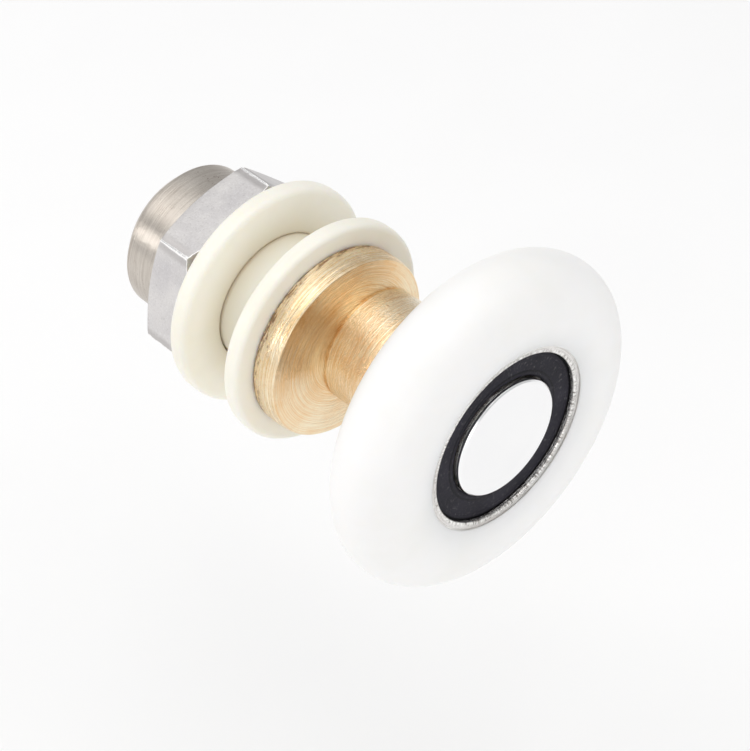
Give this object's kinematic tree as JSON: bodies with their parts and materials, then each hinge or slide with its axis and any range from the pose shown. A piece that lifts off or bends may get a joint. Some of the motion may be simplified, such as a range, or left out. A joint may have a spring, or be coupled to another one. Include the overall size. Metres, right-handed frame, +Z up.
{
  "type": "sliding door roller",
  "caption": "Ball-bearing wheel on an eccentric brass axle with a flanged bush, clamp washer and hex nut, for hanging a sliding glass door.",
  "frame": {"origin": "centre of the bush flange's clamp face, on the axis of the hole in the door panel", "axes": "+Y along the clamp axis towards the nut, +Z up, wheel on the -Y side"},
  "size_m": [0.025, 0.0312, 0.025],
  "materials": {
    "white_nylon": "satin moulded nylon",
    "ivory_nylon": "satin ivory nylon",
    "turned_brass": "turned, with fine tool marks",
    "bearing_steel": "ground and polished",
    "polished_steel": "polished",
    "cage_steel": "pressed",
    "plated_steel": "nickel-plated, satin flats and polished collar",
    "seal_rubber": "matte nitrile"
  },
  "bodies": {
    "bush": {"flanged_bush": "ivory_nylon"},
    "axle": {"eccentric_axle": "turned_brass", "axle_rivet": "polished_steel", "bearing_inner_ring": "bearing_steel"},
    "wheel": {"tyre": "white_nylon", "bearing_outer_ring": "bearing_steel", "front_seal": "seal_rubber", "rear_seal": "seal_rubber"},
    "cage": {"cage_half_front": "cage_steel", "cage_half_rear": "cage_steel", "ball_1": "bearing_steel", "ball_2": "bearing_steel", "ball_3": "bearing_steel", "ball_4": "bearing_steel", "ball_5": "bearing_steel", "ball_6": "bearing_steel", "ball_7": "bearing_steel", "ball_8": "bearing_steel"},
    "rear_washer": {"rear_washer": "ivory_nylon"},
    "nut_washer": {"nut_washer": "plated_steel"},
    "nut": {"hex_nut": "plated_steel"}
  },
  "joints": [
    {"name": "eccentric_turn", "type": "hinge", "parent": "bush", "child": "axle", "pos_m": [0, 0, 0], "axis": [0, 1, 0], "continuous": true},
    {"name": "wheel_spin", "type": "hinge", "parent": "axle", "child": "wheel", "pos_m": [0.00215, -0.0137, -0.0009], "axis": [0, 1, 0], "continuous": true},
    {"name": "cage_spin", "type": "hinge", "parent": "axle", "child": "cage", "pos_m": [0.00215, -0.0137, -0.0009], "axis": [0, 1, 0], "continuous": true},
    {"name": "washer_slide", "type": "slide", "parent": "bush", "child": "rear_washer", "axis": [0, 1, 0], "range_m": [0, 0.00751]},
    {"name": "nut_travel", "type": "slide", "parent": "axle", "child": "nut_washer", "axis": [0, 1, 0], "range_m": [0, 0.00751]},
    {"name": "nut_turn", "type": "hinge", "parent": "nut_washer", "child": "nut", "pos_m": [0, 0.0098, 0], "axis": [0, 1, 0], "range_deg": [0, 2160]}
  ],
  "couplings": [
    {"joint": "cage_spin", "follows": "wheel_spin", "ratio": 0.60826},
    {"joint": "nut_travel", "follows": "nut_turn", "m_per_rad": 0.00019894},
    {"joint": "washer_slide", "follows": "nut_turn", "m_per_rad": 0.00019894}
  ]
}
